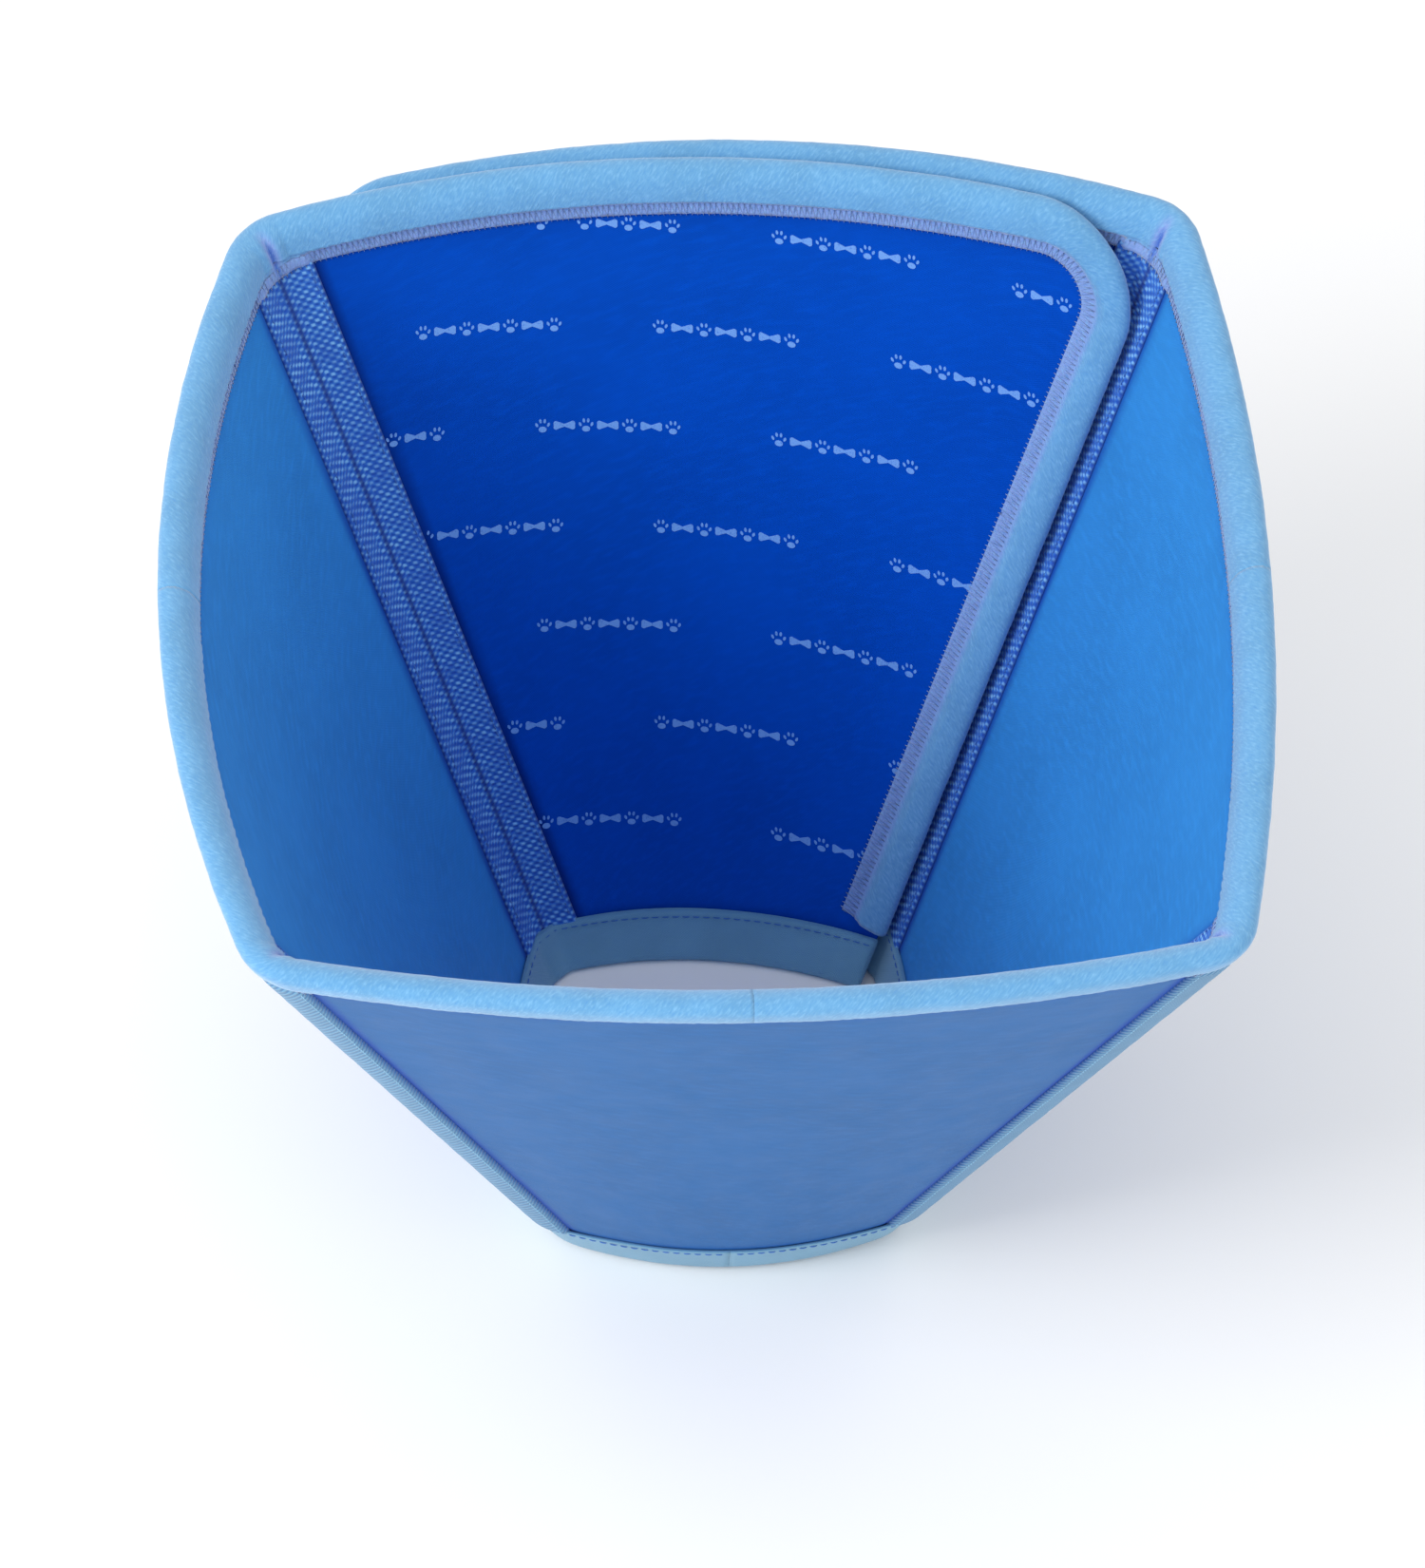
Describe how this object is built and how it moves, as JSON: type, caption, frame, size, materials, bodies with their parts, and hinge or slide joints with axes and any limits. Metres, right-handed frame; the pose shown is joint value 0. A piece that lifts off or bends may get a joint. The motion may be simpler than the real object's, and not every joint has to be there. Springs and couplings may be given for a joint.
{
  "type": "elizabethan collar",
  "caption": "Folding four-sided pet recovery cone of fabric-covered boards, with a fleece-bound rim, taped creases and two overlapping back flaps.",
  "frame": {"origin": "middle of the collar's box, on the surface that its neck edge stands on", "axes": "+Z from the neck edge to the wide rim, -Y to the throat panel, +X to the right panel, which carries the outer flap"},
  "size_m": [0.3468, 0.3574, 0.267],
  "materials": {
    "core_board": "matt foam board",
    "crease_webbing": "coarse woven webbing",
    "flap_lining_satin": "deep blue satin-faced fabric with a small light print",
    "fleece_binding": "brushed fleece",
    "hook_tape": "hook fastener",
    "lining_satin": "blue satin-faced fabric",
    "loop_tape": "loop fastener",
    "knit_binding": "smooth knit tape",
    "cover_satin": "light blue satin-faced fabric",
    "seam_tape": "ribbed woven tape"
  },
  "bodies": {
    "throat": {"near_left_crease_webbing": "crease_webbing", "near_left_front_binding_corner": "fleece_binding", "near_left_neck_binding_corner": "knit_binding", "near_left_seam_tape": "seam_tape", "near_right_crease_webbing": "crease_webbing", "near_right_front_binding_corner": "fleece_binding", "near_right_neck_binding_corner": "knit_binding", "near_right_seam_tape": "seam_tape", "throat_core_board": "core_board", "throat_front_binding": "fleece_binding", "throat_inner_lining": "lining_satin", "throat_neck_binding": "knit_binding", "throat_outer_cover": "cover_satin"},
    "left": {"far_left_crease_webbing": "crease_webbing", "far_left_front_binding_corner": "fleece_binding", "far_left_neck_binding_corner": "knit_binding", "far_left_seam_tape": "seam_tape", "left_core_board": "core_board", "left_front_binding": "fleece_binding", "left_inner_lining": "lining_satin", "left_neck_binding": "knit_binding", "left_outer_cover": "cover_satin"},
    "right": {"far_right_crease_webbing": "crease_webbing", "far_right_front_binding_corner": "fleece_binding", "far_right_neck_binding_corner": "knit_binding", "far_right_seam_tape": "seam_tape", "right_core_board": "core_board", "right_front_binding": "fleece_binding", "right_inner_lining": "lining_satin", "right_neck_binding": "knit_binding", "right_outer_cover": "cover_satin"},
    "inner_flap": {"inner_flap_core_board": "core_board", "inner_flap_front_binding": "fleece_binding", "inner_flap_inner_lining": "flap_lining_satin", "inner_flap_neck_binding": "knit_binding", "inner_flap_outer_cover": "cover_satin", "lower_loop_strip": "loop_tape", "middle_loop_strip": "loop_tape", "upper_loop_strip": "loop_tape"},
    "outer_flap": {"lower_hook_patch": "hook_tape", "middle_hook_patch": "hook_tape", "outer_flap_core_board": "core_board", "outer_flap_front_binding": "fleece_binding", "outer_flap_inner_lining": "flap_lining_satin", "outer_flap_neck_binding": "knit_binding", "outer_flap_outer_cover": "cover_satin", "upper_hook_patch": "hook_tape"}
  },
  "joints": [
    {"name": "right_fold", "type": "hinge", "parent": "throat", "child": "right", "pos_m": [0.05578, -0.05857, 0], "axis": [-0.3165, 0.3165, -0.8942], "range_deg": [0, 80], "deforming": ["near_right_crease_webbing", "near_right_front_binding_corner", "near_right_neck_binding_corner", "near_right_seam_tape"]},
    {"name": "left_fold", "type": "hinge", "parent": "throat", "child": "left", "pos_m": [-0.04482, -0.05857, 0], "axis": [-0.3165, -0.3165, 0.8942], "range_deg": [0, 80], "deforming": ["near_left_crease_webbing", "near_left_front_binding_corner", "near_left_neck_binding_corner", "near_left_seam_tape"]},
    {"name": "inner_flap_fold", "type": "hinge", "parent": "left", "child": "inner_flap", "pos_m": [-0.04482, 0.04203, 0], "axis": [0.3165, -0.3165, -0.8942], "range_deg": [0, 92], "deforming": ["far_left_crease_webbing", "far_left_front_binding_corner", "far_left_neck_binding_corner", "far_left_seam_tape"]},
    {"name": "outer_flap_fold", "type": "hinge", "parent": "right", "child": "outer_flap", "pos_m": [0.05578, 0.04203, 0], "axis": [-0.3165, -0.3165, -0.8942], "range_deg": [0, 120], "deforming": ["far_right_crease_webbing", "far_right_front_binding_corner", "far_right_neck_binding_corner", "far_right_seam_tape"]}
  ],
  "couplings": [
    {"joint": "left_fold", "follows": "right_fold", "ratio": 1},
    {"joint": "inner_flap_fold", "follows": "right_fold", "ratio": 1.15}
  ]
}
